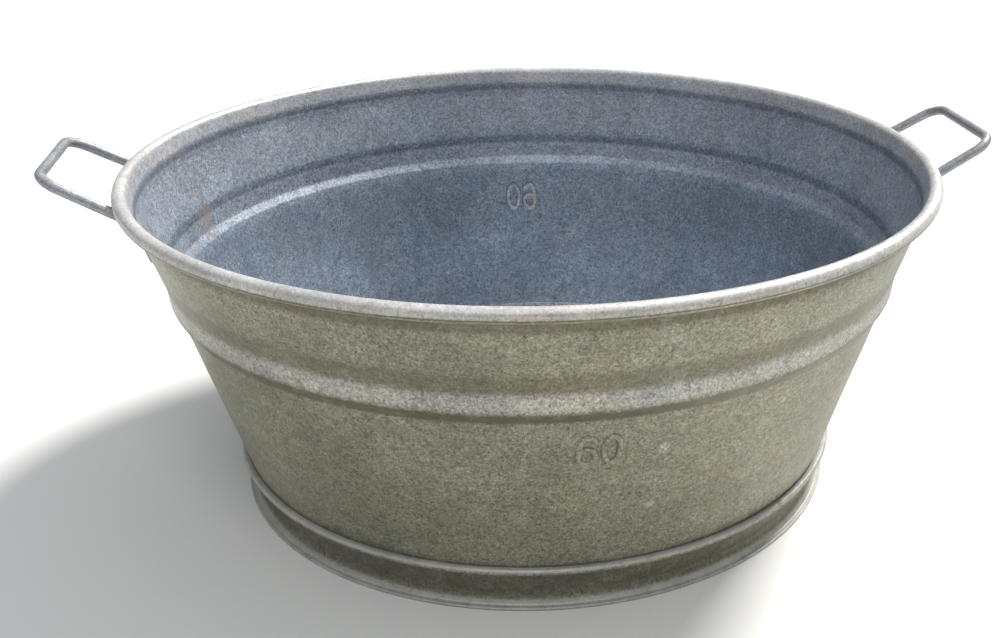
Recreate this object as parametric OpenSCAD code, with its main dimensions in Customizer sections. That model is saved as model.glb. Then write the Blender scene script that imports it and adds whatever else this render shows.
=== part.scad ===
// Round zinc wash tub: two wall panels locked together at the sides, wired rim, clinched floor,
// standing foot hoop and two round-bar handles. Millimetres, ground at z = 0, handles along X.

/* [Tub] */
// Outside diameter over the rolled rim
rim_d = 648; // [620:2:680]
// Height from the ground to the top of the rim
tub_h = 264; // [258:1:276]
// Diameter of the wall where it meets the floor
floor_d = 485; // [475:1:490]
// Thickness of the zinc-coated sheet
sheet_t = 0.9; // [0.8:0.05:1]

/* [Rim] */
// Diameter of the wire rolled into the rim
wire_d = 9; // [8:0.5:11]
// How far the crease under the flared band lies inside the bead centre
band_w = 9; // [6:0.5:12]
// Height of the flared band, crease to bead centre
band_h = 11; // [9:0.5:14]
// Height of the steep neck below the crease
neck_h = 9; // [6:0.5:12]

/* [Swaged rib] */
// Height of the lower edge of the rib above the ground
rib_z = 171; // [160:1:180]
// Height of the rib, edge to edge
rib_h = 23.5; // [18:0.5:28]
// How far the rib stands out from the wall
rib_out = 2.5; // [2:0.5:5]

/* [Floor and foot] */
// Height of the clinched floor seam above the ground
seam_z = 33.5; // [28:0.5:38]
// Width of the flanges clinched in the floor seam
seam_w = 4.2; // [4:0.1:6]
// Depth of the floor pan below its seam
floor_dip = 16; // [12:0.5:18]
// Mean radius of the stiffening ring in the floor
floor_ring_r = 190; // [120:5:205]
// Height of the stiffening ring
floor_ring_h = 3; // [2:0.5:5]
// Smallest radius of the foot hoop
hoop_r = 236.5; // [234:0.5:238]
// How far the hoop flares out at the ground
flare_out = 7.5; // [5:0.5:9]

/* [Wall lock seams] */
// Width of the side seams at the rib
lock_w = 9; // [7:0.5:12]

/* [Handles] */
// Diameter of the handle bar
bar_d = 8; // [6:0.5:8.5]
// Distance of the grip axis from the tub centre
grip_x = 369; // [362:1:380]
// Height of the grip axis above the ground
grip_z = 276; // [272:0.5:280]
// Half the length of the grip, corner to corner
grip_half = 55.5; // [48:0.5:60]
// Bend radius at the corners of the grip
grip_bend = 17; // [10:1:22]

/* [Hidden] */
// clearance between neighbouring sheets
gap = 0.1;
// one sheet with its clearance, as layers stack in a seam
pitch = sheet_t + gap;
rim_r = rim_d / 2;
floor_r = floor_d / 2;

// largest turn of one facet in a bend, degrees
bend_step = 9;
curl_step = 9;

// centre of the rim bead, and the sheet centre line round the wire
curl_r = wire_d / 2 + gap + sheet_t / 2;
bead_r = curl_r + sheet_t / 2;
bead = [rim_r - bead_r, tub_h - bead_r];

// wall outline, floor corner to crease
corner = [floor_r, seam_z];
crease = bead - [band_w, band_h];
neck = crease - [neck_h * 0.13, neck_h];
// the rib lies a little outside the straight line from corner to crease
rib_lean = 0.5;
rib_lo = on_wall(rib_z) + [rib_lean, 0];
rib_hi = on_wall(rib_z + rib_h) + [rib_lean, 0];
// the lower flank of the rib is the short, steep one
rib_top = rib_lo + 0.32 * (rib_hi - rib_lo) + 1.2 * rib_out * outward(rib_hi - rib_lo);
band_a = tangent_angle(crease, bead, curl_r);
band_end = bead + curl_r * [cos(band_a + 90), sin(band_a + 90)];
// the curl is closed as far round as the band allows
curl_end = band_a - 270 + acos(curl_r / (curl_r + sheet_t + 2 * gap));

wall = concat(
    route([[floor_r + seam_w, seam_z], corner, rib_lo, rib_top, rib_hi, neck, crease, band_end],
          [1.2, 6, 6, 12, 14, 8]),
    [for (a = [band_a + 90 - curl_step : -curl_step : curl_end])
        bead + curl_r * [cos(a), sin(a)]]);

// the lock seams run from just over the floor seam to just under the neck
lock_lo = corner + (4 / (rib_lo.y - corner.y)) * (rib_lo - corner);
lock_hi = neck - (3 / (neck.y - rib_hi.y)) * (neck - rib_hi);
lock = route([lock_lo, rib_lo, rib_top, rib_hi, lock_hi], [6, 6, 12]);
// half seam width, sheet thickness and clearance as angles
lock_a = deg_at_rib(lock_w / 2);
sheet_a = deg_at_rib(sheet_t);
gap_a = deg_at_rib(0.15);

// floor seam: folds are centred on the wall flange, returns stop short of the wall
fold_r = floor_r + seam_w;
return_r = floor_r + 2.3;
// the side of the floor pan runs along the inside of the foot hoop, down to its waist
hoop_waist = 10;
pan_r = floor_r - pitch;
pan_side = [hoop_r - floor_r, hoop_waist - (seam_z - 2 * pitch)];
floor_z = seam_z - pitch - floor_dip;
floor_corner = [pan_r, seam_z - pitch] + floor_dip / abs(pan_side.y) * pan_side;
ring_half = 8;
floor_line = concat(
    [[0, floor_z]],
    route([[floor_ring_r - 3 * ring_half, floor_z],
           [floor_ring_r - ring_half, floor_z], [floor_ring_r - ring_half / 2, floor_z + floor_ring_h],
           [floor_ring_r + ring_half / 2, floor_z + floor_ring_h],
           [floor_ring_r + ring_half, floor_z], floor_corner, [pan_r, seam_z - pitch],
           [fold_r, seam_z - pitch]], [4, 4, 4, 4, 8, 1.2]),
    fold(fold_r, pitch),
    [[return_r, seam_z + pitch]]);

// foot hoop: clinched over the floor seam, waisted, flared and hemmed at the ground
hem_r = 0.7;
hem_z = sheet_t / 2 + 2 * hem_r;
hem_w = 2.8;
flare_x = hoop_r + flare_out;
hoop_line = concat(
    [[return_r, seam_z + 2 * pitch]],
    [for (p = reversed(fold(fold_r, 2 * pitch))) p],
    route([[fold_r, seam_z - 2 * pitch], [floor_r, seam_z - 2 * pitch], [hoop_r, hoop_waist],
           [flare_x - hem_w, hem_z], [flare_x, hem_z]], [1.6, 8, 3]),
    [for (a = [90 - 30 : -30 : -90]) [flare_x, hem_z - hem_r] + hem_r * [cos(a), sin(a)]],
    [[flare_x - hem_w, hem_z - 2 * hem_r]]);

// handle: each leg turns down the wall under the bead and runs out into a flattened tail
wall_lean = atan2(neck.x - rib_hi.x, neck.y - rib_hi.y);
elbow_a = 11;
elbow_d = bar_d + 0.4;
// place of the elbow from the neck of the wall: off the wall and up along it
elbow_off = sheet_t / 2 + 0.05 + elbow_d / 2;
elbow_up = 7.4;
elbow_r = neck.x + elbow_off * cos(wall_lean) + elbow_up * sin(wall_lean);
elbow = [elbow_r * cos(elbow_a), elbow_r * sin(elbow_a),
         neck.y - elbow_off * sin(wall_lean) + elbow_up * cos(wall_lean)];
// bent bar swells a little, and each bend takes in the ends of the straight bars
bend_swell = 0.06;
bend_lap = 0.8;
elbow_h = 8.4;
tail_t = 3;
tail_w = 10;
tail_h = 26;
// the tails bite this far into the wall where they are welded
weld = 0.08;

zinc = [0.66, 0.68, 0.70];
steel = [0.52, 0.53, 0.55];

$fn = 180;

// outline helpers

function unit(v) = v / norm(v);
// right-hand normal: outside of a line drawn upwards
function outward(v) = unit([v.y, -v.x]);
function reversed(list) = [for (i = [len(list) - 1 : -1 : 0]) list[i]];
function on_wall(z) = corner + (z - corner.y) / (crease.y - corner.y) * (crease - corner);
function deg_at_rib(length) = length / on_wall(rib_z).x * 180 / PI;

// direction of the line from p that runs past the circle with the circle on its right
function tangent_angle(p, c, r) = atan2(c.y - p.y, c.x - p.x) + asin(r / norm(c - p));

// arc of radius r in place of the corner b between a and c
function bend(a, b, c, r) =
    let (u = unit(a - b), w = unit(c - b), half = acos(u * w) / 2,
         m = b + unit(u + w) * r / sin(half),
         p = b + u * r / tan(half),
         from = atan2(p.y - m.y, p.x - m.x),
         turn = (180 - 2 * half) * sign(cross(b - a, c - b)),
         steps = ceil(abs(turn) / bend_step))
    [for (i = [0 : steps]) m + r * [cos(from + turn * i / steps), sin(from + turn * i / steps)]];

// points joined by straight lines, corners rounded with the given radii
function route(points, radii) = concat(
    [points[0]],
    [for (i = [1 : len(points) - 2]) each bend(points[i - 1], points[i], points[i + 1], radii[i - 1])],
    [points[len(points) - 1]]);

// half circle round the edge of the seam, lower layer to upper layer
function fold(x, r) = [for (a = [-90 + 15 : 15 : 90]) [x, seam_z] + r * [cos(a), sin(a)]];

// the line moved sideways by d, corners mitred
function side(line, d) =
    [for (i = [0 : len(line) - 1])
        let (n1 = outward(i == 0 ? line[1] - line[0] : line[i] - line[i - 1]),
             n2 = outward(i == len(line) - 1 ? line[i] - line[i - 1] : line[i + 1] - line[i]),
             n = unit(n1 + n2))
        line[i] + n * d / (n * n1)];

// a band between two sideways positions of a line
module strip(line, d1, d2) {
    polygon(concat(side(line, d2), reversed(side(line, d1))));
}

// one sheet thickness along a line, as layer k of a seam
module sheet(line, k = 0) {
    strip(line, k * pitch - sheet_t / 2, k * pitch + sheet_t / 2);
}

module sweep(from, to) {
    rotate([0, 0, from]) rotate_extrude(angle = to - from) children();
}

// half of the wall: hooked over its neighbour at 0 degrees, under it at 180 degrees
module panel() {
    edge = lock_a + gap_a;
    sweep(edge, 180 + lock_a) sheet(wall);
    // stepped out over the neighbour, folded in and back under
    sweep(edge, edge + sheet_a) strip(lock, 0, 3 * pitch);
    sweep(-lock_a, edge + sheet_a) sheet(lock, 3);
    sweep(-lock_a, -lock_a + sheet_a) strip(lock, pitch, 3 * pitch);
    sweep(-lock_a, lock_a - sheet_a - gap_a) sheet(lock, 1);
    // folded out and back over the neighbour's hook
    sweep(180 + lock_a - sheet_a, 180 + lock_a) strip(lock, 0, 2 * pitch);
    sweep(180 - lock_a + sheet_a + gap_a, 180 + lock_a) sheet(lock, 2);
}

// grip with its two corner bends and legs, drawn flat: X away from the tub, grip along Y
module loop(reach, spread) {
    // corner of the trapezoid between grip and leg
    splay = atan2(spread - grip_half, reach);
    turn = 90 - splay;
    back = grip_bend * tan(turn / 2);
    leg = norm([reach, spread - grip_half]) - back;
    translate([reach, back - grip_half, 0]) rotate([-90, 0, 0])
        cylinder(d = bar_d, h = 2 * (grip_half - back));
    for (s = [0, 1]) mirror([0, s, 0])
        translate([reach - grip_bend, grip_half - back, 0]) {
            rotate([0, 0, -bend_lap]) rotate_extrude(angle = turn + 2 * bend_lap)
                translate([grip_bend, 0]) circle(d = bar_d + bend_swell);
            rotate([0, 0, turn]) translate([grip_bend, 0, 0]) rotate([-90, 0, 0])
                cylinder(d = bar_d, h = leg);
        }
}

// elbow of a leg and its flattened end, lying on the wall
module tail() {
    translate([neck.x, 0, neck.y]) rotate([0, wall_lean, 0]) {
        translate([elbow_off, 0, elbow_up - elbow_h / 2]) cylinder(d = elbow_d, h = elbow_h);
        translate([sheet_t / 2 - weld, 0, 0]) {
            translate([0, -tail_w / 2, -tail_h]) cube([tail_t + weld, tail_w, tail_h + elbow_up]);
            translate([0, 0, -tail_h]) rotate([0, 90, 0]) cylinder(d = tail_w, h = tail_t + weld);
        }
    }
}

module handle() {
    rise = grip_z - elbow.z;
    run = grip_x - elbow.x;
    translate([elbow.x, 0, elbow.z]) rotate([0, -atan2(rise, run), 0])
        loop(norm([run, rise]), elbow.y);
    for (s = [0, 1]) mirror([0, s, 0]) rotate([0, 0, elbow_a]) tail();
}

// sub-parts

module wall_back() {
    color(zinc) panel();
}

module wall_front() {
    color(zinc) rotate([0, 0, 180]) panel();
}

module rim_wire() {
    color(steel) rotate_extrude() translate(bead) circle(d = wire_d);
}

module bottom_sheet() {
    color(zinc) rotate_extrude() sheet(floor_line);
}

module foot_hoop() {
    color(zinc) rotate_extrude() sheet(hoop_line);
}

module handle_right() {
    color(zinc) handle();
}

module handle_left() {
    color(zinc) rotate([0, 0, 180]) handle();
}

wall_front();
wall_back();
rim_wire();
bottom_sheet();
foot_hoop();
handle_left();
handle_right();
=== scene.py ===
"""Round zinc wash tub: the looks of its sheet-metal parts, built round the fixed CAD frame.

Every sheet part starts as a flat blank (a closed two-sided grid that knows its place along the
part's outline and its angle round the tub). A node tree rolls the blank along the outline, presses
the size number into it and gives it the slight waviness of hand-worked sheet. The handles are bars
drawn along a path by a second tree. Lengths are in metres, angles in radians.
"""

import math

import bpy
import numpy as np
from bpy.props import FloatProperty, FloatVectorProperty, IntProperty, PointerProperty
from mathutils import Matrix, Vector


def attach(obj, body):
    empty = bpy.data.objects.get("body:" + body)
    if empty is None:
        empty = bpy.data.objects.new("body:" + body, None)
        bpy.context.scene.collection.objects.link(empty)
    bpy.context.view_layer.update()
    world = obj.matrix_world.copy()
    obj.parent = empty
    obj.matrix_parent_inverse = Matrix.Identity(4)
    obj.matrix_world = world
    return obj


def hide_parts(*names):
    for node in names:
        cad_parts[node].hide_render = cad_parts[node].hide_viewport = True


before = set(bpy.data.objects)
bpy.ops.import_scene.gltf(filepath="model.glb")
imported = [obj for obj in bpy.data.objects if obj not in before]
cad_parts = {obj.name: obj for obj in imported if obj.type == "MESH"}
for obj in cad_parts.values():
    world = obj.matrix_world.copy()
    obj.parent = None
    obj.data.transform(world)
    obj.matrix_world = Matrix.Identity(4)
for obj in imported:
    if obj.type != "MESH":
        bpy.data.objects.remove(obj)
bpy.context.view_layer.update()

bl_info = {
    "name": "Zinc wash tub",
    "version": (1, 0, 0),
    "blender": (4, 5, 0),
    "location": "View3D > Sidebar > Wash tub",
    "description": "Builds a round zinc wash tub from rolled and pressed sheet",
    "category": "Add Mesh",
}

TAU = 2 * math.pi


# Settings

def length(name, description, default, low=0.0, high=1.0):
    return FloatProperty(name=name, description=description, default=default, min=low, max=high,
                         precision=4, unit="LENGTH")


def number(name, description, default, low=0.0, high=1.0):
    return FloatProperty(name=name, description=description, default=default, min=low, max=high)


def colour(name, description, default):
    return FloatVectorProperty(name=name, description=description, default=default, size=3,
                               min=0.0, max=1.0, subtype="COLOR")


class TubSizes(bpy.types.PropertyGroup):
    """Sizes of the tub, the same as in the CAD source"""
    rim_radius: length("Rim radius", "Outside radius over the rolled rim", 0.324)
    height: length("Height", "Ground to the top of the rim", 0.264)
    floor_radius: length("Floor radius", "Radius of the wall where it meets the floor", 0.2425)
    sheet: length("Sheet", "Thickness of the zinc-coated sheet", 0.0009)
    gap: length("Gap", "Clearance between neighbouring sheets", 0.0001)
    wire: length("Wire", "Diameter of the wire in the rim", 0.009)
    band_width: length("Band width", "Crease to bead centre, across", 0.009)
    band_height: length("Band height", "Crease to bead centre, up", 0.011)
    neck_height: length("Neck height", "Height of the steep neck below the crease", 0.009)
    rib_z: length("Rib height", "Lower edge of the rib above the ground", 0.171)
    rib_tall: length("Rib width", "Rib from edge to edge", 0.0235)
    rib_out: length("Rib depth", "How far the rib stands out", 0.0025)
    seam_z: length("Seam height", "Floor seam above the ground", 0.0335)
    seam_width: length("Seam width", "Width of the clinched flanges", 0.0042)
    floor_dip: length("Floor depth", "Depth of the floor pan below its seam", 0.016)
    ring_radius: length("Floor ring", "Mean radius of the floor's ring", 0.190)
    ring_height: length("Ring height", "Height of the floor's ring", 0.003)
    hoop_radius: length("Hoop radius", "Smallest radius of the foot hoop", 0.2365)
    flare: length("Flare", "How far the hoop flares out", 0.0075)
    lock_width: length("Lock seam", "Width of the side seams", 0.009)
    bar: length("Bar", "Diameter of the handle bar", 0.008)
    grip_x: length("Grip reach", "Grip axis from the tub's centre", 0.369)
    grip_z: length("Grip height", "Grip axis above the ground", 0.276)
    grip_half: length("Half grip", "Half the grip, corner to corner", 0.0555)
    grip_bend: length("Grip bend", "Bend radius at the grip's corners", 0.017)
    waviness: length("Waviness", "Largest wave of the worked sheet", 0.0005, 0.0, 0.002)


class NumberSettings(bpy.types.PropertyGroup):
    """The plain number of litres pressed into both wall panels"""
    height: length("Height", "Height of the digits", 0.0255)
    stroke: length("Stroke", "Width of a stroke", 0.0042)
    relief: length("Relief", "How far the digits stand out", 0.0018, 0.0, 0.003)
    front_turn: FloatProperty(name="Front place", description="Angle of the number on the front panel",
                              default=math.radians(271.8), subtype="ANGLE")
    back_turn: FloatProperty(name="Back place", description="Angle of the number on the back panel",
                             default=math.radians(86.7), subtype="ANGLE")
    front_z: length("Front height", "Middle of the front number above the ground", 0.1445)
    back_z: length("Back height", "Middle of the back number above the ground", 0.138)


class ZincLook(bpy.types.PropertyGroup):
    """Colours and grain of the zinc"""
    outside: colour("Outside", "Weathered zinc outside", (0.259, 0.248, 0.178))
    # the inside's blue cast is a painted tint of sky-lit shade
    inside: colour("Inside", "Bluish zinc inside", (0.250, 0.296, 0.365))
    # rim is also the colour of painted highlights: the top of the bead, the band and the rib's groove
    # inside, the rib's crest, the number's strokes, the seam's ledge and the splayed edge
    rim: colour("Rim", "Handled, paler zinc on the rim", (0.56, 0.55, 0.54))
    bar: colour("Bar", "Zinc on the handle bars", (0.30, 0.31, 0.33))
    slate: colour("Slate", "Cool tint of the blotches", (0.78, 0.90, 1.0))
    putty: colour("Putty", "Warm tint of the blotches", (1.0, 0.90, 0.84))
    tint: number("Tint", "How far the blotches take their tints", 0.36)
    # stain also colours the painted shade under the bead, beside the rib, on the foot and round the
    # number's strokes
    stain: colour("Stain", "Olive brown dirt in the crevices", (0.095, 0.080, 0.045))
    # shade is the colour of the painted shade in the creases and below the rib inside
    shade: colour("Shade", "Dull slate in the creases inside", (0.075, 0.088, 0.110))
    ochre: colour("Ochre", "Rusty stain inside", (0.38, 0.27, 0.13))
    bloom: colour("Bloom", "White zinc bloom", (0.66, 0.66, 0.64))
    pit: colour("Pits", "Small dark pits", (0.14, 0.14, 0.14))
    grain: length("Grain", "Size of the zinc crystals", 0.0015)
    grain_depth: number("Grain contrast", "Contrast of the crystals", 0.76)
    roughness: number("Roughness", "Mean roughness of the zinc", 0.47)
    seed: IntProperty(name="Seed", description="Pattern of waves and stains", default=7,
                      min=0, max=99)


class StageLook(bpy.types.PropertyGroup):
    """Floor, light and camera"""
    floor: colour("Floor", "Pale floor", (0.80, 0.80, 0.79))
    sun: number("Key light", "Strength of the soft key light from behind on the right", 4.6, 0.0, 20.0)
    fill_power: FloatProperty(name="Fill light", description="Power of the soft light above the front",
                              default=22.0, min=0.0, unit="POWER")
    zenith: number("Zenith", "Strength of the surrounding light from above", 0.75, 0.0, 3.0)
    horizon: number("Horizon", "Strength of the surrounding light from the sides", 0.12, 0.0, 3.0)
    lens: FloatProperty(name="Lens", description="Focal length for a 36 mm wide picture",
                        default=47.44, min=10.0, max=200.0, unit="CAMERA")


# Outlines

def unit(v):
    return v / np.linalg.norm(v)


def bend(a, b, c, radius, step):
    """Points of the arc that rounds corner b; works in the plane and in space."""
    u, w = unit(a - b), unit(c - b)
    half = math.acos(max(-1.0, min(1.0, float(u @ w)))) / 2
    middle = b + unit(u + w) * radius / math.sin(half)
    start, turn = b + u * radius / math.tan(half) - middle, math.pi - 2 * half
    across = unit(-u - (-u @ start) * start / radius ** 2) * radius
    n = max(2, math.ceil(turn / step))
    return [middle + start * math.cos(turn * i / n) + across * math.sin(turn * i / n)
            for i in range(n + 1)]


def route(points, radii, step=math.radians(6)):
    """Points joined by straight lines, corners rounded with the given radii."""
    points = [np.array(p, float) for p in points]
    out = [points[0]]
    for i, radius in enumerate(radii):
        out += bend(points[i], points[i + 1], points[i + 2], radius, step)
    return out + [points[-1]]


def arc(middle, radius, start, end, step):
    n = max(2, math.ceil(abs(end - start) / step))
    return [np.array(middle) + radius * np.array([math.cos(a), math.sin(a)])
            for a in np.linspace(start, end, n + 1)]


def lengths(line):
    """Distance of every point of a line from its start."""
    steps = np.linalg.norm(np.diff(np.array(line), axis=0), axis=1)
    return np.concatenate([[0], np.cumsum(steps)])


def divided(marks, longest):
    """The marks with further ones between them, none more than the given distance apart."""
    out = [marks[0]]
    for a, b in zip(marks[:-1], marks[1:]):
        if b - a > 1e-9:
            out += list(np.linspace(a, b, max(1, math.ceil((b - a) / longest)) + 1)[1:])
    return np.array(out)


def side(line, shift):
    """The line in the plane moved to its right by shift."""
    line = np.array(line)
    along = np.diff(line, axis=0)
    along /= np.linalg.norm(along, axis=1)[:, None]
    right = np.column_stack([along[:, 1], -along[:, 0]])
    n = np.vstack([right[:1], right[:-1] + right[1:], right[-1:]])
    n /= np.linalg.norm(n, axis=1)[:, None]
    first = np.vstack([right[:1], right])
    return line + n * shift / np.sum(n * first, axis=1)[:, None]


class Outline:
    """The outlines of the sheet parts in the plane (distance from the axis, height)."""

    def __init__(self, s):
        self.pitch = s.sheet + s.gap
        self.curl = s.wire / 2 + s.gap + s.sheet / 2
        bead = self.curl + s.sheet / 2
        self.bead = np.array([s.rim_radius - bead, s.height - bead])
        self.corner = np.array([s.floor_radius, s.seam_z])
        self.crease = self.bead - [s.band_width, s.band_height]
        self.neck = self.crease - [s.neck_height * 0.13, s.neck_height]
        lean = np.array([0.0005, 0])
        self.rib_lo = self.on_wall(s.rib_z) + lean
        self.rib_hi = self.on_wall(s.rib_z + s.rib_tall) + lean
        up = self.rib_hi - self.rib_lo
        self.rib_top = self.rib_lo + 0.32 * up + 1.2 * s.rib_out * unit(np.array([up[1], -up[0]]))
        reach = self.bead - self.crease
        turn = math.atan2(reach[1], reach[0]) + math.asin(self.curl / np.linalg.norm(reach)) + math.pi / 2
        self.band_end = self.bead + self.curl * np.array([math.cos(turn), math.sin(turn)])
        # the bend radii are those at the flange, the rib's foot, crest and head, the neck and the crease
        straight = route([[s.floor_radius + s.seam_width, s.seam_z], self.corner, self.rib_lo, self.rib_top,
                          self.rib_hi, self.neck, self.crease, self.band_end],
                         [0.0012, 0.006, 0.006, 0.012, 0.014, 0.008])
        self.curl_start = lengths(straight)[-1]
        # the line where the outer skin of the bead turns under, and the end of the curl at the band
        edge_angle = math.radians(-22)
        self.curl_edge = self.curl_start + self.curl * (turn - edge_angle)
        close = turn - TAU + math.acos(self.curl / (self.curl + s.sheet + 2 * s.gap))
        self.wall = straight + arc(self.bead, self.curl, turn, close, math.radians(7.5))[1:]
        self.lock_lo = self.corner + 0.004 / (self.rib_lo - self.corner)[1] * (self.rib_lo - self.corner)
        self.lock_hi = self.neck - 0.003 / (self.neck - self.rib_hi)[1] * (self.neck - self.rib_hi)
        # the floor: a pan with a ring pressed up, its edge clinched round the wall's flange
        fold, back = s.floor_radius + s.seam_width, s.floor_radius + 0.0023
        waist, low = 0.010, s.seam_z - 2 * self.pitch
        ledge, ring, half = s.seam_z - self.pitch, s.ring_radius, 0.008
        z = ledge - s.floor_dip
        top = z + s.ring_height
        pan = s.floor_radius - self.pitch
        edge = pan - s.floor_dip * (s.floor_radius - s.hoop_radius) / (low - waist)
        middle = [fold, s.seam_z]
        self.floor = ([np.array([0.0, z])]
                      + route([[ring - 3 * half, z], [ring - half, z], [ring - half / 2, top],
                               [ring + half / 2, top], [ring + half, z], [edge, z], [pan, ledge],
                               [fold, ledge]], [0.004, 0.004, 0.004, 0.004, 0.008, 0.0012])
                      + arc(middle, self.pitch, -math.pi / 2, math.pi / 2, math.radians(15))[1:]
                      + [np.array([back, s.seam_z + self.pitch])])
        # zinc that ran into the joint between wall and floor, as a closed section
        wall_dir, pan_dir = unit(self.rib_lo - self.corner), unit(np.array([pan - edge, s.floor_dip]))
        face = s.sheet / 2 + 0.00003
        high = self.corner + 0.0042 * wall_dir + face * np.array([-wall_dir[1], wall_dir[0]])
        deep = np.array([pan, ledge]) - 0.0040 * pan_dir + face * np.array([-pan_dir[1], pan_dir[0]])
        self.seal = [high, (high + deep) / 2 + [-0.0001, 0.0], deep, deep + [0.0004, 0.0004],
                     (high + deep) / 2 + [0.0015, 0.0], high + [0.0004, -0.0004], high]
        # the hoop: folded over the floor seam, waisted, with a hem on the splayed edge
        hem, hem_w = 0.0007, 0.0028
        foot, tip = s.sheet / 2 + 2 * hem, s.hoop_radius + s.flare
        self.hoop = ([np.array([back, s.seam_z + 2 * self.pitch])]
                     + arc(middle, 2 * self.pitch, math.pi / 2, -math.pi / 2, math.radians(12))
                     + route([[fold, low], [s.floor_radius, low], [s.hoop_radius, waist],
                              [tip - hem_w, foot], [tip, foot]], [0.0016, 0.008, 0.003])[1:]
                     + arc([tip, foot - hem], hem, math.pi / 2, -math.pi / 2, math.radians(18))[1:]
                     + [np.array([tip - hem_w, foot - 2 * hem])])

    def on_wall(self, z):
        up = self.crease - self.corner
        return self.corner + (z - self.corner[1]) / up[1] * up

    def along_wall(self, point):
        """Length along the wall's outline at the height of a point below the crease."""
        marks, line = lengths(self.wall), np.array(self.wall)
        upto = int(np.argmax(line[:, 1] > self.crease[1]))
        return float(np.interp(point[1], line[3:upto, 1], marks[3:upto]))


# Blanks

def store(mesh, **attributes):
    """Keeps numbers, or vectors, on the points of a mesh."""
    for key, values in attributes.items():
        kind, part = ("FLOAT", "value") if values.ndim == 1 else ("FLOAT_VECTOR", "vector")
        data = mesh.attributes.new(key, kind, "POINT").data
        data.foreach_set(part, values.astype(np.float32).ravel())


def blank(name, upper, lower, rows, ring, outside=1.0):
    """Closed flat blank. upper and lower list (angle, layer) of every column for the two faces, rows the
    marks along the outline. A ring joins its last column to its first. The face attribute is 1 on the
    side that looks away from the tub's inside, -1 on the other; outside tells which one upper is."""
    columns, n = len(upper), len(rows)
    turn, layer = np.array(upper + lower).T.repeat(n, axis=1)
    along = np.tile(rows, 2 * columns)
    face = np.repeat([outside, -outside], columns * n)
    index = np.arange(2 * columns * n).reshape(2, columns, n)
    if ring:
        index = np.concatenate([index, index[:, :1]], axis=1)
    quads = []

    def patch(grid):
        a, b, c, d = grid[:-1, :-1], grid[1:, :-1], grid[1:, 1:], grid[:-1, 1:]
        quads.append(np.stack([a, b, c, d], axis=-1).reshape(-1, 4))

    patch(index[0])
    patch(index[1][:, ::-1])
    patch(np.stack([index[1][:, 0], index[0][:, 0]], axis=1))
    patch(np.stack([index[0][:, -1], index[1][:, -1]], axis=1))
    if not ring:
        patch(np.stack([index[0][0], index[1][0]], axis=0))
        patch(np.stack([index[1][-1], index[0][-1]], axis=0))
    mesh = bpy.data.meshes.new(name)
    flat = np.column_stack([turn * 0.3, along, layer])
    mesh.from_pydata(flat.tolist(), [], np.concatenate(quads).tolist())
    store(mesh, turn=turn, layer=layer, along=along, face=face)
    return mesh


def joined(name, meshes):
    """One mesh of several blanks."""
    objects = [bpy.data.objects.new(name, m) for m in meshes]
    for o in objects:
        bpy.context.collection.objects.link(o)
    with bpy.context.temp_override(active_object=objects[0], selected_editable_objects=objects):
        bpy.ops.object.join()
    mesh = objects[0].data
    bpy.data.objects.remove(objects[0])
    return mesh


def chain_mesh(name, lines):
    """A mesh of edges along lines in space."""
    points, edges = [], []
    for line in lines:
        edges += [(len(points) + i, len(points) + i + 1) for i in range(len(line) - 1)]
        points += [tuple(p) for p in line]
    mesh = bpy.data.meshes.new(name)
    mesh.from_pydata(points, edges, [])
    return mesh


def outline_object(name, line):
    """An outline that a node tree can read, upright in XZ."""
    return bpy.data.objects.new(name, chain_mesh(name, [[(p[0], 0.0, p[1]) for p in line]]))


def digit_strokes(height):
    """Centre lines of the digits 6 and 0, side by side round the middle, in the unrolled plane."""
    h = height / 2

    def oval(x, y, wide, tall, start, end, steps):
        return [(h * (x + wide * math.cos(a)), h * (y + tall * math.sin(a)), 0.0)
                for a in np.linspace(math.radians(start), math.radians(end), steps)]

    six_bowl = oval(-0.66, -0.40, 0.44, 0.54, 0, 360, 33)
    six_stem = oval(-0.66, -0.30, 0.44, 1.24, 186, 112, 12) + oval(-0.64, 0.56, 0.40, 0.38, 118, 18, 10)
    return [six_bowl, six_stem, oval(0.64, 0.0, 0.43, 0.94, 0, 360, 45)]


# Nodes

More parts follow.
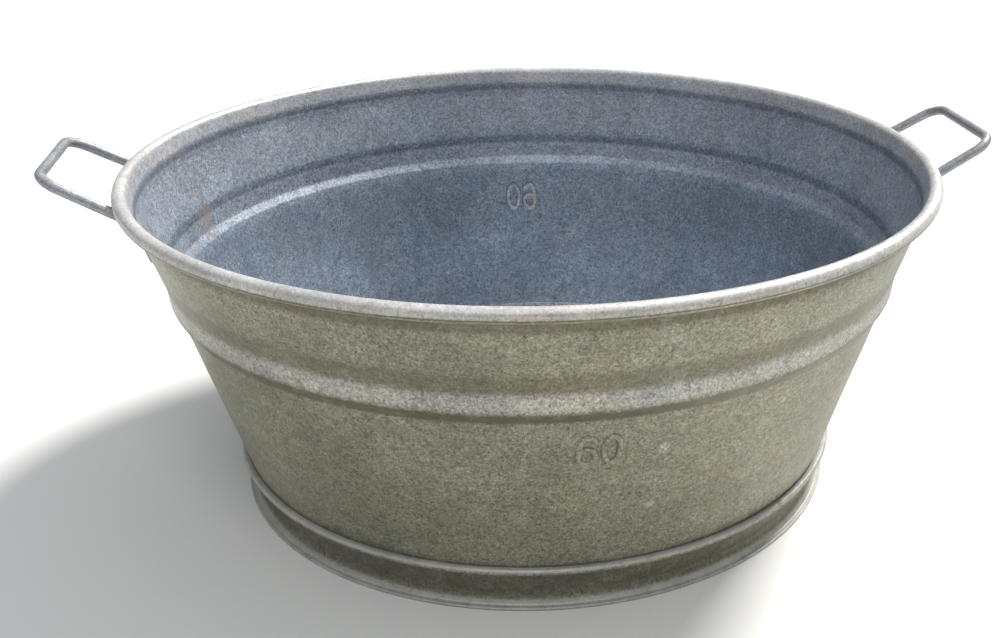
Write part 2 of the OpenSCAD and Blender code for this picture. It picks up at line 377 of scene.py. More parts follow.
class Nodes:
    """Adds nodes to a tree. An input is a value or another node's output."""

    def __init__(self, tree):
        self.tree = tree

    def feed(self, socket, value):
        if isinstance(value, bpy.types.NodeSocket):
            self.tree.links.new(value, socket)
        else:
            socket.default_value = value

    def add(self, kind, inputs=None, **settings):
        node = self.tree.nodes.new(kind)
        for key, value in settings.items():
            setattr(node, key, value)
        for key, value in (inputs or {}).items():
            self.feed(node.inputs[key], value)
        return node

    def maths(self, operation, a, b=0.0, clamp=False):
        return self.add("ShaderNodeMath", {0: a, 1: b}, operation=operation, use_clamp=clamp).outputs[0]

    def plus(self, out, *others):
        for other in others:
            out = self.maths("ADD", out, other)
        return out

    def minus(self, a, b):
        return self.maths("SUBTRACT", a, b)

    def times(self, out, *factors):
        for factor in factors:
            out = self.maths("MULTIPLY", out, factor)
        return out

    def either(self, a, b):
        return self.maths("MAXIMUM", a, b)

    def vector(self, operation, a, b=None, scale=None):
        inputs = {key: value for key, value in ((0, a), (1, b), ("Scale", scale)) if value is not None}
        node = self.add("ShaderNodeVectorMath", inputs, operation=operation)
        return node.outputs["Value" if operation in ("DOT_PRODUCT", "DISTANCE") else "Vector"]

    def xyz(self, value):
        return self.add("ShaderNodeSeparateXYZ", {0: value}).outputs

    def point(self, x, y, z=0.0):
        return self.add("ShaderNodeCombineXYZ", {0: x, 1: y, 2: z}).outputs[0]

    def ramp(self, value, low, high, out_low=0.0, out_high=1.0):
        """Smooth step from out_low at low to out_high at high."""
        return self.add("ShaderNodeMapRange", {
            "Value": value, "From Min": low, "From Max": high, "To Min": out_low, "To Max": out_high},
            interpolation_type="SMOOTHSTEP").outputs[0]

    def noise(self, where, scale, detail=2.0, roughness=0.5, seed=0.0, distortion=0.0):
        return self.add("ShaderNodeTexNoise", {
            "Vector": where, "W": seed, "Scale": scale, "Detail": detail, "Roughness": roughness,
            "Distortion": distortion}, noise_dimensions="4D").outputs[0]

    def attribute(self, name, kind="FLOAT"):
        node = self.add("GeometryNodeInputNamedAttribute", {"Name": name}, data_type=kind)
        return node.outputs["Attribute"]

    def keep(self, geometry, name, value, kind="FLOAT"):
        """Stores a value on the points of a geometry."""
        return self.add("GeometryNodeStoreNamedAttribute", {
            "Geometry": geometry, "Name": name, "Value": value}, data_type=kind, domain="POINT").outputs[0]

    def read(self, thing):
        return self.add("GeometryNodeObjectInfo", {"Object": thing}).outputs["Geometry"]


def tree_with(name, inputs):
    """The nodes of an empty geometry tree, and its input sockets by name. An input is given by its
    kind, or by its default where it's a number."""
    tree = bpy.data.node_groups.new(name, "GeometryNodeTree")
    tree.interface.new_socket("Geometry", in_out="INPUT", socket_type="NodeSocketGeometry")
    for label, given in inputs.items():
        plain = isinstance(given, float)
        socket = tree.interface.new_socket(
            label, in_out="INPUT", socket_type="NodeSocketFloat" if plain else "NodeSocket" + given)
        if plain:
            socket.default_value = given
    tree.interface.new_socket("Geometry", in_out="OUTPUT", socket_type="NodeSocketGeometry")
    n = Nodes(tree)
    return n, n.add("NodeGroupInput").outputs


def closed(n, geometry, material):
    """The tree, with the geometry in its material as the result."""
    realized = n.add("GeometryNodeRealizeInstances", {"Geometry": geometry}).outputs[0]
    dressed = n.add("GeometryNodeSetMaterial", {"Geometry": realized, "Material": material}).outputs[0]
    n.add("NodeGroupOutput", {0: dressed})
    return n.tree


def smooth_piece(name, mesh):
    """The mesh as an object, smooth but for its sharp edges."""
    mesh.shade_smooth()
    mesh.set_sharp_from_angle(angle=math.radians(40))
    piece = bpy.data.objects.new(name, mesh)
    bpy.context.collection.objects.link(piece)
    return piece


def made_with(name, mesh, tree, values):
    """The mesh run through the tree, as a finished object at the origin."""
    maker = bpy.data.objects.new(name + "_maker", mesh)
    bpy.context.collection.objects.link(maker)
    modifier = maker.modifiers.new("shape", "NODES")
    modifier.node_group = tree
    sockets = {i.name: i.identifier for i in tree.interface.items_tree if i.in_out == "INPUT"}
    for label, value in values.items():
        modifier[sockets[label]] = value
    bpy.context.view_layer.update()
    made = bpy.data.meshes.new_from_object(maker.evaluated_get(bpy.context.evaluated_depsgraph_get()))
    made.name = name
    maker.modifiers.remove(modifier)
    bpy.data.objects.remove(maker)
    if not made.polygons:
        raise RuntimeError(name + " came out empty")
    return smooth_piece(name, made)


def form_tree():
    """Rolls a blank along an outline, presses the number and waves the sheet."""
    n, entry = tree_with("Roll and press sheet", {
        "Outline": "Object", "Number strokes": "Object", "Number turn": 0.0, "Number radius": 0.28,
        "Number along": 0.0, "Stroke width": 0.003, "Relief": 0.0, "Waviness": 0.0, "Wave start": 0.0,
        "Wave end": 1.0, "Seed": 0.0, "Material": "Material"})
    turn, layer, along = (n.attribute(key) for key in ("turn", "layer", "along"))
    curve = n.add("GeometryNodeMeshToCurve", {"Mesh": n.read(entry["Outline"])}).outputs[0]
    sample = n.add("GeometryNodeSampleCurve", {"Curves": curve, "Length": along}, mode="LENGTH").outputs
    heading, place = n.xyz(sample["Tangent"]), n.xyz(sample["Position"])

    # distance from the strokes of the number, measured on the unrolled sheet
    spot = n.point(n.times(n.minus(turn, entry["Number turn"]), entry["Number radius"]),
                   n.minus(along, entry["Number along"]))
    near = n.add("GeometryNodeProximity", {
        "Geometry": n.read(entry["Number strokes"]), "Sample Position": spot},
        target_element="EDGES").outputs["Distance"]
    half = n.times(entry["Stroke width"], 0.5)
    pressed = n.ramp(near, n.times(half, 1.35), n.times(half, 0.45))

    # slow waves of the worked sheet, gone towards both ends of the outline
    cosine, sine = n.maths("COSINE", turn), n.maths("SINE", turn)
    wave = n.minus(n.noise(n.point(cosine, sine, n.times(along, 5.0)), 1.7, seed=entry["Seed"]), 0.5)
    fade = 0.03
    wave = n.times(wave, n.ramp(along, entry["Wave start"], n.plus(entry["Wave start"], fade)),
                   n.ramp(along, entry["Wave end"], n.minus(entry["Wave end"], fade)),
                   n.times(entry["Waviness"], 4.0))

    out = n.plus(layer, n.plus(n.times(entry["Relief"], pressed), wave))
    radius = n.plus(place["X"], n.times(heading["Z"], out))
    height = n.minus(place["Z"], n.times(heading["X"], out))
    rolled = n.point(n.times(radius, cosine), n.times(radius, sine), height)
    numbered = n.keep(entry["Geometry"], "pressed", pressed)
    placed = n.add("GeometryNodeSetPosition", {"Geometry": numbered, "Position": rolled}).outputs[0]
    merged = n.add("GeometryNodeMergeByDistance", {"Geometry": placed, "Distance": 0.00001}).outputs[0]
    return closed(n, merged, entry["Material"])


def bar_tree():
    """Draws a round bar along a path and flattens the stretches marked flat."""
    n, entry = tree_with("Bar along a path", {
        "Diameter": 0.008, "Tail width": 0.010, "Tail thickness": 0.003, "Material": "Material"})
    here = n.add("GeometryNodeInputPosition").outputs[0]
    curve = n.add("GeometryNodeMeshToCurve", {"Mesh": entry["Geometry"]}).outputs[0]
    ring = n.add("GeometryNodeCurvePrimitiveCircle", {
        "Resolution": 28, "Radius": n.times(entry["Diameter"], 0.5)}).outputs[0]
    tube = n.add("GeometryNodeCurveToMesh", {
        "Curve": n.keep(curve, "centre", here, "FLOAT_VECTOR"), "Profile Curve": ring,
        "Fill Caps": True}).outputs[0]
    centre, away, across = (n.attribute(key, "FLOAT_VECTOR") for key in ("centre", "away", "across"))
    flat, slim = n.attribute("flat"), n.attribute("slim")
    offset = n.vector("SUBTRACT", here, centre)
    thin, wide = (n.minus(n.maths("DIVIDE", entry[key], entry["Diameter"]), 1.0)
                  for key in ("Tail thickness", "Tail width"))
    thinner = n.times(n.vector("DOT_PRODUCT", offset, away), n.times(thin, flat))
    # the width grows as the bar is flattened and closes in a round end
    growth = n.minus(n.times(n.plus(n.times(wide, flat), 1.0), slim), 1.0)
    wider = n.times(n.vector("DOT_PRODUCT", offset, across), growth)
    change = n.vector("ADD", n.vector("SCALE", away, scale=thinner), n.vector("SCALE", across, scale=wider))
    shaped = n.add("GeometryNodeSetPosition", {"Geometry": tube, "Offset": change}).outputs[0]
    return closed(n, shaped, entry["Material"])


# Materials

def rgba(c):
    return (c[0], c[1], c[2], 1.0)


def at(turn, z, radius):
    """A point on the tub from its angle in degrees, height and distance from the axis."""
    a = math.radians(turn)
    return (radius * math.cos(a), radius * math.sin(a), z)


class Surface(Nodes):
    """A material's nodes with what its masks are made from: where a point of the surface lies, and how
    calm the grain is there. Inner is the side towards the tub's inside, pressed is 1 on the number."""

    def __init__(self, tree, sheet):
        super().__init__(tree)
        self.where = self.add("ShaderNodeTexCoord").outputs["Object"]
        x, y, self.z = self.xyz(self.where)
        self.turn = self.maths("ARCTAN2", y, x)
        self.calm = 0.6
        if sheet:
            face, self.along, self.pressed = (
                self.add("ShaderNodeAttribute", attribute_name=key).outputs["Fac"]
                for key in ("face", "along", "pressed"))
            self.inner = self.maths("LESS_THAN", face, 0.0)
            self.outer = self.minus(1.0, self.inner)

    def pattern(self, *settings):
        return self.noise(self.where, *settings)

    def between(self, value, low, high, soft):
        """1 between two marks, fading out over the soft distance beyond them."""
        return self.times(self.ramp(value, low - soft, low), self.ramp(value, high + soft, high))

    def belt(self, low, high, soft):
        """1 between two heights, all the way round."""
        return self.between(self.z, low, high, soft)

    def near(self, middle, radius, soft):
        """1 near a point, 0 beyond the radius."""
        return self.ramp(self.vector("DISTANCE", self.where, middle), radius, radius * (1 - soft))

    def mix(self, factor, tone, colour, blend="MIX"):
        """The tone with a share of a colour mixed in; either may be a socket or a plain colour."""
        node = self.add("ShaderNodeMix", data_type="RGBA", blend_type=blend)
        for label, kind, value in (("Factor", "VALUE", factor), ("A", "RGBA", tone), ("B", "RGBA", colour)):
            plain = kind == "RGBA" and not isinstance(value, bpy.types.NodeSocket)
            self.feed(next(i for i in node.inputs if (i.name, i.type) == (label, kind)),
                      rgba(value) if plain else value)
        return next(o for o in node.outputs if o.type == "RGBA")


def sheet_tones(on, look, line):
    """Outside, inside and rim tones of the sheet, with painted highlights and painted shade on the rim, the
    band, the rib and the number.
    """
    # the inside face comes out over the rim, so the bead's skin weathers like the outside
    on.skin = on.times(on.inner, on.ramp(on.z, line.crease[1], line.bead[1] - 0.010),
                       on.ramp(on.along, line.curl_start + 0.005, line.curl_start + 0.009))
    tone = on.mix(on.minus(on.inner, on.skin), look.outside, look.inside)
    # the rim and the inside of the band are paler: partly handled wear, and a painted highlight that grows
    # towards their tops
    rim = on.times(on.ramp(on.along, line.curl_start - 0.006, line.curl_start + 0.006),
                   on.ramp(on.z, line.bead[1] - 0.0042, line.bead[1] + 0.0042))
    tone = on.mix(rim, tone, look.rim)
    band = on.times(on.minus(on.inner, on.skin),
                    on.ramp(on.z, line.crease[1] - 0.002, line.crease[1] + 0.007, 0.22, 0.62),
                    on.ramp(on.z, line.rib_hi[1], line.rib_hi[1] + 0.020))
    tone = on.mix(band, tone, look.rim)
    on.calm = on.minus(1.0, on.times(on.either(rim, on.times(band, 0.8)), 0.6))
    # inside, painted light: the groove of the rib is paler with a painted highlight, its upper edge and the
    # crease are darker with painted shade, and so is the wall below the rib
    groove = on.belt(line.rib_lo[1] + 0.003, line.rib_hi[1] - 0.004, 0.004)
    tone = on.mix(on.times(on.inner, groove, 0.20), tone, look.rim)
    crease_and_edge_shade = on.either(on.belt(line.crease[1] - 0.0020, line.crease[1] + 0.0010, 0.0035),
                     on.belt(line.rib_hi[1] - 0.0010, line.rib_hi[1] + 0.0025, 0.0035))
    under = on.times(on.ramp(on.z, line.rib_lo[1] - 0.002, line.rib_lo[1] - 0.010),
                     on.ramp(on.z, line.rib_lo[1] - 0.090, line.rib_lo[1] - 0.030), 0.26)
    tone = on.mix(on.times(on.either(on.times(crease_and_edge_shade, 0.50), under), on.inner), tone, look.shade)
    # a painted highlight on the crest of the rib outside
    crest = on.belt(line.rib_top[1] + 0.0060, line.rib_hi[1] - 0.0030, 0.0065)
    tone = on.mix(on.times(on.outer, crest, 0.40), tone, look.rim)
    # a painted highlight on the strokes of the number, inside more than outside
    lift = on.ramp(on.inner, 0.0, 1.0, 0.14, 0.55)
    return on.mix(on.times(on.ramp(on.pressed, 0.5, 0.9), lift), tone, look.rim)


def crystals(on, look, tone):
    """Zinc crystals of several sizes over blotches of slightly different tint. Returns the tone with
    the fine grain, the blotches and the pale bloom."""
    seed, grain = float(look.seed), 1.0 / look.grain
    fine = on.pattern(grain, 3.0, 0.62, seed, 0.35)
    dust = on.pattern(grain * 2.3, 1.0, 0.5, seed + 1)
    cells = on.add("ShaderNodeTexVoronoi", {
        "Vector": on.where, "Scale": grain * 0.62, "Randomness": 1.0}, feature="F1").outputs["Color"]
    cell = on.add("ShaderNodeSeparateColor", {0: cells}).outputs[0]
    blotch = on.pattern(46.0, 4.0, 0.62, seed + 3, 0.8)
    cloud = on.pattern(11.0, 3.0, 0.55, seed + 5, 0.5)
    # tints of the blotches: towards slate and towards putty
    slate = on.ramp(on.pattern(30.0, 3.0, 0.6, seed + 6), 0.40, 0.66, 0.0, look.tint)
    tone = on.mix(slate, tone, look.slate, "MULTIPLY")
    putty = on.ramp(on.pattern(26.0, 3.0, 0.6, seed + 7), 0.42, 0.68, 0.0, look.tint)
    tone = on.mix(putty, tone, look.putty, "MULTIPLY")
    mottle = on.plus(*(on.times(on.minus(layer, 0.5), share)
                       for layer, share in ((fine, 3.6), (dust, 1.5), (cell, 0.5))))
    gain = on.plus(1.0, on.times(mottle, on.calm, look.grain_depth))
    gain = on.times(gain, on.ramp(blotch, 0.28, 0.72, 0.92, 1.08),
                    on.ramp(cloud, 0.3, 0.7, 0.89, 1.11))
    tone = on.vector("SCALE", tone, scale=on.either(gain, 0.25))
    # pale bloom where grain and blotch peak together, and small dark pits
    pale = on.times(on.ramp(fine, 0.54, 0.68), on.ramp(blotch, 0.40, 0.64))
    tone = on.mix(on.times(pale, 0.35), tone, look.bloom)
    pits = on.ramp(on.pattern(560.0, 1.0, 0.5, seed + 9), 0.70, 0.76)
    tone = on.mix(on.times(pits, 0.6), tone, look.pit)
    return tone, fine, blotch, pale


def worked_marks(on, look, tone, line):
    """Darker streaks down the inside; painted highlights on the seam's ledge and the splayed edge; painted
    shade under the bead, beside the rib, on the foot and round the number; a dark line along the rolled
    edge; a scratch and single marks.
    """
    seed = float(look.seed)
    ragged = on.pattern(90.0, 4.0, 0.65, seed + 17)
    # faint darker streaks down the inside below the rib
    sweep = on.point(on.times(on.turn, 0.3), on.times(on.z, 0.06))
    run = on.ramp(on.noise(sweep, 60.0, 4.0, 0.6, seed + 11), 0.46, 0.70)
    on_wall = on.times(on.ramp(on.z, line.corner[1], line.corner[1] + 0.01),
                       on.ramp(on.z, line.rib_lo[1] + 0.004, line.rib_lo[1] - 0.02))
    tone = on.mix(on.times(run, on.inner, on_wall, 0.40), tone, [c * 0.60 for c in look.inside])
    # painted highlights on the ledge of the floor seam and on the splayed edge that it stands on, which
    # face up
    ledge = on.belt(line.corner[1] + 0.0008, line.corner[1] + 0.0024, 0.0007)
    splay = on.ramp(on.z, 0.0070, 0.0045)
    edge_highlight = on.times(on.either(ledge, splay), on.outer, on.ramp(ragged, 0.30, 0.62, 0.5, 1.0), 0.68)
    tone = on.mix(edge_highlight, tone, look.rim)
    # painted shade: the bead's shadow under it, the rib's lower flank and the hollow above it, the waisted
    # foot and the edges of the number's strokes; with it a dark line along the edge of the curl on the bead
    curl = on.between(on.along, line.curl_edge - 0.0003, line.curl_edge + 0.0003, 0.0005)
    neck = on.belt(line.crease[1] - 0.003, line.crease[1] + 0.005, 0.005)
    rib = on.belt(line.rib_lo[1] + 0.0005, line.rib_lo[1] + 0.0062, 0.0034)
    valley = on.belt(line.rib_hi[1] + 0.002, line.rib_hi[1] + 0.011, 0.008)
    stroke = on.times(on.ramp(on.pressed, 0.02, 0.25), on.ramp(on.pressed, 0.75, 0.35))
    foot = on.belt(0.009, 0.026, 0.005)
    shade_and_dirt = on.times(foot, 0.68)
    for crevice, depth in ((neck, 0.72), (rib, 0.80), (valley, 0.50), (stroke, 0.50)):
        shade_and_dirt = on.either(shade_and_dirt, on.times(crevice, depth))
    shade_and_dirt = on.either(on.times(shade_and_dirt, on.outer), on.times(curl, on.skin, 0.9))
    shade_and_dirt = on.times(shade_and_dirt, on.ramp(ragged, 0.32, 0.60, 0.6, 1.0))
    tone = on.mix(shade_and_dirt, tone, look.stain)
    # single marks: lime splashes outside, specks on the floor seam, an ochre stain inside
    specks = on.pattern(520.0, 2.0, 0.6, seed + 19)
    for middle, size, strength, shade, pattern, face in (
            (at(281.1, 0.139, 0.274), 0.007, 0.9, look.bloom, specks, on.outer),
            (at(280.5, 0.088, 0.258), 0.006, 0.8, look.bloom, specks, on.outer),
            (at(311.0, 0.034, 0.247), 0.006, 0.8, look.stain, specks, on.outer),
            (at(309.3, 0.036, 0.246), 0.003, 0.7, look.stain, specks, on.outer),
            (at(161.0, 0.190, 0.290), 0.024, 0.45, look.ochre, ragged, on.inner)):
        speckled = on.times(on.near(middle, size, 0.9), on.ramp(pattern, 0.44, 0.54), face, strength)
        tone = on.mix(speckled, tone, shade)
    # a scratch down the inside on the right
    slope = 1.4
    middle = (0.3 * (math.radians(14.0) + slope * 0.205), 0.0041, 0.0)
    course = on.point(on.times(on.plus(on.turn, on.times(on.z, slope)), 0.3), on.times(on.z, 0.02))
    mark = on.ramp(on.vector("DISTANCE", course, middle), 0.0007, 0.0003)
    mark = on.times(mark, on.inner, on.ramp(ragged, 0.3, 0.5))
    return on.mix(on.times(mark, 0.55), tone, look.bloom)


def roller_rings(on, look, line):
    """Fine rings that the forming roller left between the rib and the crease."""
    waves = on.noise(on.point(on.z, on.times(on.turn, 0.002)), 560.0, 2.0, 0.6, look.seed + 13)
    return on.times(waves, on.belt(line.neck[1] - 0.006, line.crease[1], 0.010))


def zinc_material(name, sheet):
    """Hot-dip zinc: crystals, blotches, bloom and pits; on sheet also rim tones, painted highlights and
    painted shade, stains and single marks.
    """
    material = bpy.data.materials.new(name)
    material.use_nodes = True
    material.node_tree.nodes.clear()
    look, line = bpy.context.scene.tub_zinc, Outline(bpy.context.scene.tub_sizes)
    on = Surface(material.node_tree, sheet)
    tone = sheet_tones(on, look, line) if sheet else look.bar
    tone, fine, blotch, pale = crystals(on, look, tone)
    height = on.plus(on.times(fine, 0.00010), on.times(blotch, 0.00026))
    if sheet:
        tone = worked_marks(on, look, tone, line)
        height = on.plus(height, on.times(roller_rings(on, look, line), 0.00040))
    rough = on.plus(look.roughness, on.times(on.minus(fine, 0.5), 0.5))
    rough = on.maths("ADD", rough, on.times(pale, 0.15), clamp=True)
    bump = on.add("ShaderNodeBump", {"Strength": 0.6, "Distance": 1.0, "Height": height}).outputs[0]
    shader = on.add("ShaderNodeBsdfPrincipled", {
        "Base Color": tone, "Metallic": 0.3, "Roughness": rough, "Normal": bump}).outputs[0]
    on.add("ShaderNodeOutputMaterial", {"Surface": shader})
    return material


def sheet_material():
    return bpy.data.materials.get("zinc_sheet_look") or zinc_material("zinc_sheet_look", True)


def bar_material():
    return bpy.data.materials.get("zinc_bar_look") or zinc_material("zinc_bar_look", False)


def tree_named(name, make):
    return bpy.data.node_groups.get(name) or make()


def finish_piece(piece, node):
    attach(piece, "root")
    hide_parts(node)


# The folds of a lock seam are this much thinner than the sheet, so that no two of them touch
LOCK_FIT = 0.98


def lock_hooks(s, pitch):
    """The two edges of a panel, folded over and under its neighbour's, as lines of (distance round the
    tub, distance from the wall). Each starts inside its own panel's sheet."""
    half, t = s.lock_width / 2, s.sheet / 2
    # the step up beside the seam, and how far the end of a fold stops short of the next
    step, short = 0.0006, 0.0022
    tight, wide, fine = t * 1.1, pitch * LOCK_FIT, math.radians(15)
    over = route([[half + 0.004, 0], [half + step, 0], [half + step, 3 * pitch], [t - half, 3 * pitch],
                  [t - half, pitch], [half - short, pitch]], [tight, tight, wide, wide], fine)
    under = route([[half - 0.003, 0], [half - t, 0], [half - t, 2 * pitch], [short - half, 2 * pitch]],
                  [wide, wide], fine)
    return over, under


# Operators

class TUB_OT_wall_panels(bpy.types.Operator):
    """Rolls the two wall panels with their rim curl, rib, number and lock seams"""
    bl_idname = "tub.wall_panels"
    bl_label = "Wall panels"

    def execute(self, context):
        s, digits = context.scene.tub_sizes, context.scene.tub_number
        line, t = Outline(s), s.sheet / 2
        marks = lengths(line.wall)
        # angles round the tub are measured on the wall at the rib
        per_metre = 1 / line.on_wall(s.rib_z)[0]
        lock = s.lock_width / 2 * per_metre
        # the panel's first edge keeps this play from its neighbour; the grid is fine round the number
        play, fine, coarse, columns_round = 0.00015, 0.0006, 0.009, 121
        calm_foot, calm_rim = 0.004, 0.02
        outline = outline_object("wall_outline", line.wall)
        strokes = bpy.data.objects.new(
            "number_strokes", chain_mesh("number_strokes", digit_strokes(digits.height)))
        low, high = line.along_wall(line.lock_lo), line.along_wall(line.lock_hi)
        lock_rows = np.unique([low, high, *(m for m in divided(marks, 0.012) if low < m < high)])
        for panel, node, first, number_turn, number_z in (
                ("panel_back", "wall_back", 0.0, digits.back_turn, digits.back_z),
                ("panel_front", "wall_front", math.pi, digits.front_turn, digits.front_z)):
            middle = line.along_wall((0.0, number_z))
            wall_radius = line.on_wall(number_z)[0]
            reach = 0.62 * digits.height
            around = (reach + 0.004) / wall_radius
            rows = np.unique(np.concatenate([
                divided(marks, coarse), np.arange(middle - reach, middle + reach, fine)]).round(6))
            columns = np.unique(np.concatenate([
                np.linspace(lock + play * per_metre, math.pi + lock, columns_round) + first,
                np.arange(number_turn - around, number_turn + around, fine / wall_radius)]).round(6))
            parts = [blank(panel, [(a, t) for a in columns], [(a, -t) for a in columns], rows, False)]
            for hook, start in zip(lock_hooks(s, line.pitch), (first, first + math.pi)):
                faces = [[(start + x * per_metre, out) for x, out in side(hook, shift)]
                         for shift in (t * LOCK_FIT, -t * LOCK_FIT)]
                parts.append(blank(panel, *faces, lock_rows, False))
            piece = made_with(panel, joined(panel, parts), tree_named("Roll and press sheet", form_tree), {
                "Outline": outline, "Number strokes": strokes, "Number turn": float(number_turn),
                "Number radius": float(wall_radius), "Number along": float(middle),
                "Stroke width": digits.stroke, "Relief": digits.relief, "Waviness": s.waviness,
                "Wave start": calm_foot, "Wave end": float(line.curl_start - calm_rim),
                "Seed": float(context.scene.tub_zinc.seed), "Material": sheet_material()})
            finish_piece(piece, node)
        return {"FINISHED"}


def full_ring(name, node, line, longest, waviness, outside, context):
    """A sheet part that goes all the way round."""
    t = context.scene.tub_sizes.sheet / 2
    turns = np.linspace(0, TAU, 241)[:-1]
    rows = divided(lengths(line), longest)
    mesh = blank(name, [(a, t) for a in turns], [(a, -t) for a in turns], rows, True, outside)
    piece = made_with(name, mesh, tree_named("Roll and press sheet", form_tree), {
        "Outline": outline_object(name + "_outline", line), "Waviness": waviness, "Wave start": 0.01,
        "Wave end": float(rows[-1] - 0.02), "Material": sheet_material()})
    finish_piece(piece, node)


class TUB_OT_floor(bpy.types.Operator):
    """Rolls the bottom sheet with its stiffening ring and clinched edge"""
    bl_idname = "tub.floor"
    bl_label = "Bottom sheet"

    def execute(self, context):
        full_ring("floor_sheet", "bottom_sheet", Outline(context.scene.tub_sizes).floor, 0.012, 0.0002, 1.0,
                  context)
        return {"FINISHED"}


class TUB_OT_hoop(bpy.types.Operator):
    """Rolls the foot hoop with its clinched top, flare and hem"""
    bl_idname = "tub.hoop"
    bl_label = "Foot hoop"

    def execute(self, context):
        full_ring("standing_hoop", "foot_hoop", Outline(context.scene.tub_sizes).hoop, 0.006, 0.0, -1.0,
                  context)
        return {"FINISHED"}


class TUB_OT_seal(bpy.types.Operator):
    """Runs the zinc into the joint between the wall and the floor"""
    bl_idname = "tub.seal"
    bl_label = "Zinc in the floor joint"

    def execute(self, context):
        section = Outline(context.scene.tub_sizes).seal[:-1]
        n, turns = len(section), 240
        points = [at(360 * i / turns, p[1], p[0]) for i in range(turns) for p in section]
        # the section runs downwards on the tub's inside, so that the faces look away from it
        near = np.arange(turns * n).reshape(turns, n)
        far = np.roll(near, -1, axis=0)
        faces = np.stack([near, far, np.roll(far, -1, axis=1), np.roll(near, -1, axis=1)], axis=-1)
        mesh = bpy.data.meshes.new("joint_zinc")
        mesh.from_pydata(points, [], faces.reshape(-1, 4).tolist())
        store(mesh, face=np.full(len(points), -1.0), along=np.zeros(len(points)))
        mesh.materials.append(sheet_material())
        piece = smooth_piece("joint_zinc", mesh)
        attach(piece, "root")
        return {"FINISHED"}


class TUB_OT_handles(bpy.types.Operator):
    """Bends the two handles from round bar, with flattened tails on the wall"""
    bl_idname = "tub.handles"
    bl_label = "Handles"

    def execute(self, context):
        s = context.scene.tub_sizes
        line = Outline(s)
        # the legs stand this far round the tub from the grip's middle; the flat tails lie on the wall
        turn, thick, wide, tail = math.radians(11), 0.003, 0.010, 0.026
        # the tails are welded on, sunk by this, and the round leg passes the neck clear of the sheet
        sunk, clear, knee_bend, elbow_bend = 0.00004, 0.00025, 0.02, 0.0055
        lean = math.atan2(*(line.neck - line.rib_hi))
        up = np.array([math.sin(lean), math.cos(lean)])
        off = np.array([math.cos(lean), -math.sin(lean)])
        on_wall = (s.sheet / 2 + thick / 2 - sunk) * off
        start = line.neck - (tail + wide / 2) * up + on_wall
        knee = line.neck - 0.003 * up + on_wall
        elbow = line.neck + 0.0074 * up + (s.sheet / 2 + s.bar / 2 + clear) * off

        def place(p, sign):
            return [p[0] * math.cos(turn), sign * p[0] * math.sin(turn), p[1]]

        grip = [[s.grip_x, y, s.grip_z] for y in (s.grip_half, -s.grip_half)]
        path = route([place(start, 1), place(knee, 1), place(elbow, 1), *grip,
                      place(elbow, -1), place(knee, -1), place(start, -1)],
                     [knee_bend, elbow_bend, s.grip_bend, s.grip_bend, elbow_bend, knee_bend],
                     math.radians(7))
        longest, fine = 0.003, []
        for a, b in zip(path[:-1], path[1:]):
            n = max(1, math.ceil(np.linalg.norm(b - a) / longest))
            fine += [a + (b - a) * i / n for i in range(n)]
        # a rounded end needs close sections
        ends = [path[0] + unit(path[1] - path[0]) * d
                for d in (0.0, 0.0001, 0.0004, 0.0009, 0.0016, 0.0025)]
        fine = [p for p in fine + [path[-1]]
                if min(np.linalg.norm(p - path[0]), np.linalg.norm(p - path[-1])) > 0.0028]
        fine = np.array(ends + fine + [p * [1, -1, 1] for p in reversed(ends)])
        marks = lengths(fine)
        from_end = np.minimum(marks, marks[-1] - marks)
        flat = np.clip((tail + wide / 2 + 0.002 - from_end) / 0.010, 0, 1)
        flat = flat * flat * (3 - 2 * flat)
        gone = np.clip(1 - from_end / (wide / 2), 0, 1)
        slim = np.maximum(np.sqrt(1 - gone ** 2), 0.02)
        sign = np.where(fine[:, 1] >= 0, 1.0, -1.0)
        one = np.ones(len(fine))
        away = np.column_stack([off[0] * math.cos(turn) * one, sign * off[0] * math.sin(turn),
                                off[1] * one])
        across = np.column_stack([-math.sin(turn) * one, sign * math.cos(turn), 0 * one])
        for name, node, flip in (("handle_bar_right", "handle_right", 1.0),
                                 ("handle_bar_left", "handle_left", -1.0)):
            spin = np.array([flip, flip, 1.0])
            mesh = chain_mesh(name + "_path", [fine * spin])
            store(mesh, flat=flat, slim=slim, away=away * spin, across=across * spin)
            piece = made_with(name, mesh, tree_named("Bar along a path", bar_tree), {
                "Diameter": s.bar, "Tail width": wide, "Tail thickness": thick, "Material": bar_material()})
            finish_piece(piece, node)
        return {"FINISHED"}


class TUB_OT_wire(bpy.types.Operator):
    """Gives the wire inside the rim its look"""
    bl_idname = "tub.wire"
    bl_label = "Rim wire"

    def execute(self, context):
        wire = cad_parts["rim_wire"]
        wire.data.materials.clear()
        wire.data.materials.append(bar_material())
        return {"FINISHED"}


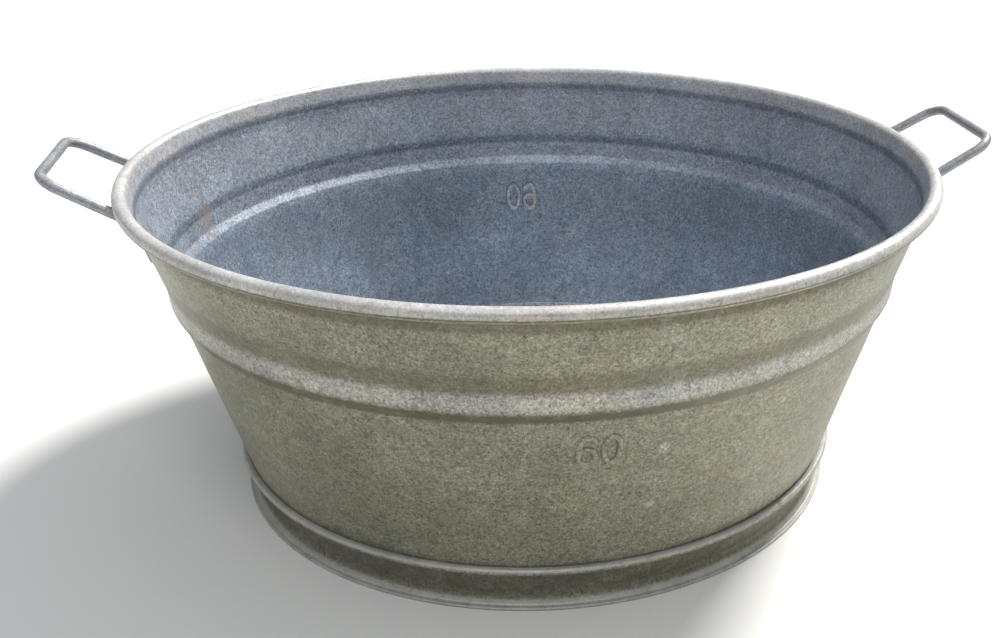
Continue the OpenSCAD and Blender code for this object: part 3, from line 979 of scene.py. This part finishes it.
class TUB_OT_stage(bpy.types.Operator):
    """Lays the floor and sets the lights and the camera"""
    bl_idname = "tub.stage"
    bl_label = "Stage"

    def execute(self, context):
        scene, look = context.scene, context.scene.tub_stage
        mesh = bpy.data.meshes.new("floor")
        mesh.from_pydata([(-6, -6, 0), (6, -6, 0), (6, 6, 0), (-6, 6, 0)], [], [(0, 1, 2, 3)])
        floor = bpy.data.objects.new("stage_floor", mesh)
        material = bpy.data.materials.new("stage_floor_look")
        material.use_nodes = True
        shader = material.node_tree.nodes["Principled BSDF"]
        shader.inputs["Base Color"].default_value = rgba(look.floor)
        shader.inputs["Roughness"].default_value = 0.9
        mesh.materials.append(material)
        scene.collection.objects.link(floor)

        def lamp(data, place, aim, power, tint):
            data.energy, data.color = power, tint
            light = bpy.data.objects.new(data.name, data)
            light.location = place
            light.rotation_euler = (Vector(aim) - Vector(place)).to_track_quat("-Z", "Y").to_euler()
            scene.collection.objects.link(light)

        key = bpy.data.lights.new("key", "SUN")
        key.angle = math.radians(14)
        lamp(key, (1.75, 1.25, 2.8), (0, 0, 0.15), look.sun, (1.0, 0.97, 0.93))
        fill = bpy.data.lights.new("fill", "AREA")
        fill.shape, fill.size = "DISK", 1.2
        lamp(fill, (-0.4, -2.0, 2.9), (0, -0.2, 0.12), look.fill_power, (1.0, 0.98, 0.95))

        world = bpy.data.worlds.new("studio")
        world.use_nodes = True
        world.node_tree.nodes.clear()
        n = Nodes(world.node_tree)
        seen = n.add("ShaderNodeLightPath").outputs["Is Camera Ray"]
        upwards = n.xyz(n.add("ShaderNodeTexCoord").outputs["Generated"])[2]
        sky = n.add("ShaderNodeBackground", {
            "Color": (0.90, 0.95, 1.0, 1.0),
            "Strength": n.ramp(upwards, 0.2, 0.9, look.horizon, look.zenith)}).outputs[0]
        paper = n.add("ShaderNodeBackground", {
            "Color": (1.0, 1.0, 1.0, 1.0), "Strength": 1.0}).outputs[0]
        both = n.add("ShaderNodeMixShader", {0: seen, 1: sky, 2: paper}).outputs[0]
        n.add("ShaderNodeOutputWorld", {0: both})
        scene.world = world
        scene.view_settings.view_transform = "Standard"

        # camera measured from the photograph's own perspective
        camera = bpy.data.cameras.new("camera")
        camera.sensor_width, camera.lens = 36.0, look.lens
        camera.shift_x, camera.shift_y = -0.12, -0.08
        camera.clip_start, camera.clip_end = 0.05, 50.0
        shot = bpy.data.objects.new("camera", camera)
        eye = (-0.1141, -1.0245, 0.5652)
        yaw, pitch, roll = 0.1785, -0.3488, 0.0102
        ahead = Vector((math.sin(yaw) * math.cos(pitch), math.cos(yaw) * math.cos(pitch), math.sin(pitch)))
        right = Vector((math.cos(yaw), -math.sin(yaw), 0.0))
        up = right.cross(ahead)
        right, up = (math.cos(roll) * right + math.sin(roll) * up,
                     math.cos(roll) * up - math.sin(roll) * right)
        turn = Matrix((right, up, -ahead)).transposed()
        shot.matrix_world = Matrix.Translation(eye) @ turn.to_4x4()
        scene.collection.objects.link(shot)
        scene.camera = shot
        return {"FINISHED"}


class TUB_PT_panel(bpy.types.Panel):
    """Wash tub settings and pieces"""
    bl_label = "Wash tub"
    bl_idname = "TUB_PT_panel"
    bl_space_type = "VIEW_3D"
    bl_region_type = "UI"
    bl_category = "Wash tub"

    def draw(self, context):
        layout = self.layout
        for label, group in (("Sizes", context.scene.tub_sizes), ("Number", context.scene.tub_number),
                             ("Zinc", context.scene.tub_zinc), ("Stage", context.scene.tub_stage)):
            box = layout.box()
            box.label(text=label)
            for key in group.__annotations__:
                box.prop(group, key)
        for operator in OPERATORS:
            layout.operator(operator.bl_idname)


GROUPS = {"tub_sizes": TubSizes, "tub_number": NumberSettings, "tub_zinc": ZincLook, "tub_stage": StageLook}
OPERATORS = (TUB_OT_wall_panels, TUB_OT_floor, TUB_OT_hoop, TUB_OT_seal, TUB_OT_handles, TUB_OT_wire,
             TUB_OT_stage)


def register():
    for group in GROUPS.values():
        bpy.utils.register_class(group)
    for operator in OPERATORS:
        bpy.utils.register_class(operator)
    bpy.utils.register_class(TUB_PT_panel)
    for key, group in GROUPS.items():
        setattr(bpy.types.Scene, key, PointerProperty(type=group))


def unregister():
    for key in GROUPS:
        delattr(bpy.types.Scene, key)
    for thing in (TUB_PT_panel, *OPERATORS, *GROUPS.values()):
        bpy.utils.unregister_class(thing)


def main():
    register()
    bpy.ops.tub.wall_panels()
    bpy.ops.tub.floor()
    bpy.ops.tub.hoop()
    bpy.ops.tub.seal()
    bpy.ops.tub.handles()
    bpy.ops.tub.wire()
    bpy.ops.tub.stage()


if __name__ == "__main__":
    main()
